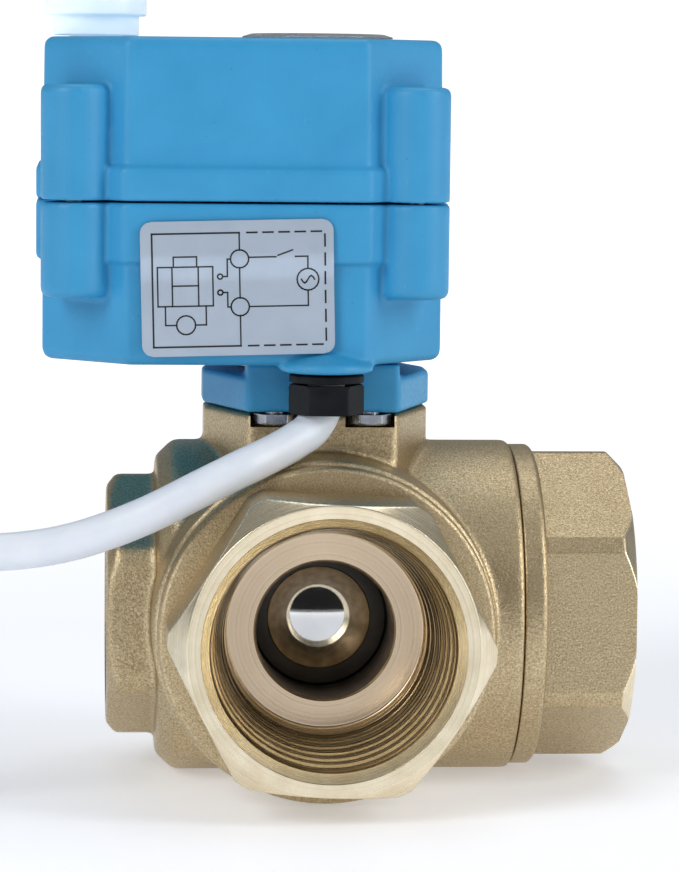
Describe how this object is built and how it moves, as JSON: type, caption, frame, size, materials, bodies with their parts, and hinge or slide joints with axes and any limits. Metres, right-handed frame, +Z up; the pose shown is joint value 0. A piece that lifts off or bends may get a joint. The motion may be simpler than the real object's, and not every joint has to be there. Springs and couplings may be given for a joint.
{
  "type": "zone valve",
  "caption": "Motorised three-way ball valve: brass T body with threaded ports and hexagon end caps, under a blue plastic actuator with a manual override plug and a lead.",
  "frame": {"origin": "centre of the bounding box of the valve without its lead, at the level of the body's underside", "axes": "+X along the two in-line ports towards the larger capped port, -Y out of the third port, +Z up the stem"},
  "size_m": [0.1896, 0.0763, 0.1123],
  "materials": {
    "brass_casting": "sand-cast brass, sealed and blasted",
    "machined_brass": "turned brass threads in a blasted hexagon",
    "chrome_ball": "polished chrome plate",
    "seat_ptfe": "turned PTFE",
    "seal_rubber": "moulded rubber",
    "housing_blue": "sky-blue moulded plastic with a fine satin grain",
    "steel_screw": "plated steel",
    "motor_steel": "drawn steel can",
    "acetal": "moulded acetal",
    "black_plastic": "moulded nylon",
    "board_green": "solder mask",
    "signal_red": "moulded plastic",
    "window_clear": "clear moulded lens",
    "plug_white": "milky translucent push-in plug",
    "label_foil": "silver foil sticker with a wiring diagram",
    "cord_white": "satin PVC sheath",
    "core_red": "PVC insulation",
    "core_black": "PVC insulation"
  },
  "bodies": {
    "valve": {"valve_body": "brass_casting", "end_cap_right": "machined_brass", "end_cap_front": "machined_brass", "cap_seal_right": "seal_rubber", "cap_seal_front": "seal_rubber", "seat_left": "seat_ptfe", "seat_right": "seat_ptfe", "seat_front": "seat_ptfe", "seat_back": "seat_ptfe", "stem_thrust_washer": "seat_ptfe", "stem_seal_lower": "seal_rubber", "stem_seal_upper": "seal_rubber", "mounting_base": "housing_blue", "base_lock_nut": "machined_brass", "base_screw_1": "steel_screw", "base_screw_2": "steel_screw", "base_screw_3": "steel_screw", "base_screw_4": "steel_screw", "lower_housing": "housing_blue", "upper_housing": "housing_blue", "housing_gasket": "seal_rubber", "housing_screw_1": "steel_screw", "housing_screw_2": "steel_screw", "housing_screw_3": "steel_screw", "housing_screw_4": "steel_screw", "compound_gear_pin": "steel_screw", "gear_plate": "black_plastic", "plate_screw_1": "steel_screw", "plate_screw_2": "steel_screw", "plate_screw_3": "steel_screw", "plate_screw_4": "steel_screw", "motor": "motor_steel", "limit_switch_front": "black_plastic", "limit_switch_back": "black_plastic", "circuit_board": "board_green", "capacitor_1": "black_plastic", "capacitor_2": "black_plastic", "indicator_window": "window_clear", "window_seal": "seal_rubber", "label": "label_foil", "gland_body": "black_plastic", "gland_seal": "seal_rubber", "gland_nut": "black_plastic", "core_red": "core_red", "core_black": "core_black", "cord": "cord_white", "cord_coil": "cord_white", "lead_red": "core_red", "lead_black": "core_black"},
    "flow_control": {"ball": "chrome_ball", "stem": "machined_brass", "output_gear": "acetal", "cam": "signal_red", "indicator_pointer": "signal_red"},
    "compound": {"compound_gear": "acetal"},
    "motor_rotor": {"motor_pinion": "motor_steel"},
    "override": {"override_spindle": "acetal"},
    "plug": {"override_plug": "plug_white"}
  },
  "joints": [
    {"name": "valve_turn", "type": "hinge", "parent": "valve", "child": "flow_control", "pos_m": [-0.0023, 0.0088, 0.0241], "axis": [0, 0, 1], "range_deg": [0, 90]},
    {"name": "compound_spin", "type": "hinge", "parent": "valve", "child": "compound", "pos_m": [-0.0202, 0.01068, 0.0241], "axis": [0, 0, 1], "range_deg": [-222.5, 1]},
    {"name": "motor_spin", "type": "hinge", "parent": "valve", "child": "motor_rotor", "pos_m": [-0.02424, -0.00439, 0.0241], "axis": [0, 0, 1], "range_deg": [-1, 643.5]},
    {"name": "override_spin", "type": "hinge", "parent": "valve", "child": "override", "pos_m": [-0.0342, 0.01757, 0.0241], "axis": [0, 0, 1], "range_deg": [-1, 643.5]},
    {"name": "plug_pull", "type": "slide", "parent": "valve", "child": "plug", "axis": [0, 0, 1], "range_m": [0, 0.012]}
  ],
  "couplings": [
    {"joint": "compound_spin", "follows": "valve_turn", "ratio": -2.4615},
    {"joint": "motor_spin", "follows": "valve_turn", "ratio": 7.1385},
    {"joint": "override_spin", "follows": "valve_turn", "ratio": 7.1385}
  ]
}
